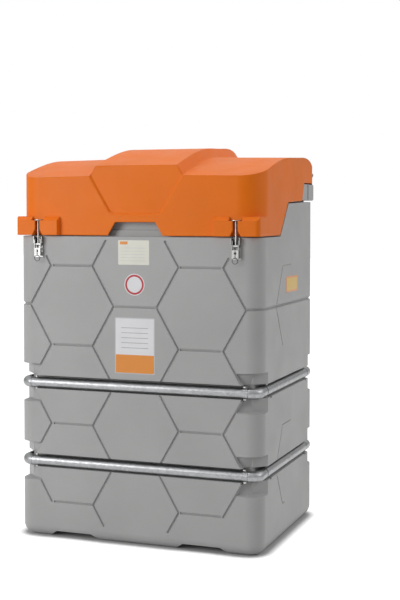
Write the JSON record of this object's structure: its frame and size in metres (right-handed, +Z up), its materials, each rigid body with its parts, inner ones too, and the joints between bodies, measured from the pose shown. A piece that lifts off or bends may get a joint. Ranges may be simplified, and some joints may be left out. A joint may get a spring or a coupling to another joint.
{
  "type": "waste oil tank",
  "caption": "Double-walled plastic waste oil tank with honeycomb relief, tube rings, and an orange hinged weather lid held by toggle latches",
  "frame": {"origin": "on the floor under the middle of the body, at the mount base", "axes": "+X to the right along the front, +Y to the back, +Z up; the front with the latches faces -Y"},
  "size_m": [1.16, 0.896, 1.7798],
  "materials": {
    "grey_plastic": "moulded, fine texture",
    "orange_plastic": "moulded, fine texture",
    "natural_plastic": "moulded, milky",
    "black_plastic": "moulded",
    "red_plastic": "moulded",
    "galvanised_steel": "hot-dip galvanised",
    "bolt_steel": "zinc plated",
    "stainless_steel": "pressed stainless steel",
    "funnel_steel": "pickled sheet",
    "brass": "turned"
  },
  "bodies": {
    "container": {"outer_container": "grey_plastic", "inner_tank": "natural_plastic", "inner_tank_deck": "natural_plastic", "hinge_rail": "grey_plastic", "hinge_lower_leaf_left": "stainless_steel", "hinge_lower_leaf_right": "stainless_steel", "hinge_pin_left": "stainless_steel", "hinge_pin_right": "stainless_steel", "latch_base_left": "stainless_steel", "latch_base_right": "stainless_steel", "upper_ring_front_tube": "galvanised_steel", "upper_ring_rear_tube": "galvanised_steel", "upper_ring_left_tube": "galvanised_steel", "upper_ring_right_tube": "galvanised_steel", "upper_ring_elbows": "galvanised_steel", "upper_ring_bolts": "bolt_steel", "lower_ring_front_tube": "galvanised_steel", "lower_ring_rear_tube": "galvanised_steel", "lower_ring_left_tube": "galvanised_steel", "lower_ring_right_tube": "galvanised_steel", "lower_ring_elbows": "galvanised_steel", "lower_ring_bolts": "bolt_steel", "fill_funnel": "funnel_steel", "funnel_strainer": "funnel_steel", "level_gauge": "black_plastic", "suction_coupling": "brass", "vent_cap": "black_plastic", "leak_indicator": "red_plastic"},
    "lid": {"lid_shell": "orange_plastic", "keeper_left": "stainless_steel", "keeper_right": "stainless_steel", "hinge_upper_leaf_left": "stainless_steel", "hinge_upper_leaf_right": "stainless_steel"},
    "lever_left": {"latch_lever_left": "stainless_steel", "latch_pull_ring_left": "stainless_steel"},
    "rod_left": {"latch_rod_left": "stainless_steel"},
    "lever_right": {"latch_lever_right": "stainless_steel", "latch_pull_ring_right": "stainless_steel"},
    "rod_right": {"latch_rod_right": "stainless_steel"}
  },
  "joints": [
    {"name": "lid_hinge", "type": "hinge", "parent": "container", "child": "lid", "pos_m": [0, 0.437, 1.652], "axis": [-1, 0, 0], "range_deg": [0, 95]},
    {"name": "lever_left_hinge", "type": "hinge", "parent": "container", "child": "lever_left", "pos_m": [-0.47, -0.437, 1.348], "axis": [-1, 0, 0], "range_deg": [0, 120]},
    {"name": "rod_left_hinge", "type": "hinge", "parent": "lever_left", "child": "rod_left", "pos_m": [-0.47, -0.437, 1.33], "axis": [1, 0, 0], "range_deg": [0, 132]},
    {"name": "lever_right_hinge", "type": "hinge", "parent": "container", "child": "lever_right", "pos_m": [0.47, -0.437, 1.348], "axis": [-1, 0, 0], "range_deg": [0, 120]},
    {"name": "rod_right_hinge", "type": "hinge", "parent": "lever_right", "child": "rod_right", "pos_m": [0.47, -0.437, 1.33], "axis": [1, 0, 0], "range_deg": [0, 132]}
  ],
  "couplings": [
    {"joint": "rod_left_hinge", "follows": "lever_left_hinge", "ratio": 1.1},
    {"joint": "rod_right_hinge", "follows": "lever_right_hinge", "ratio": 1.1}
  ]
}
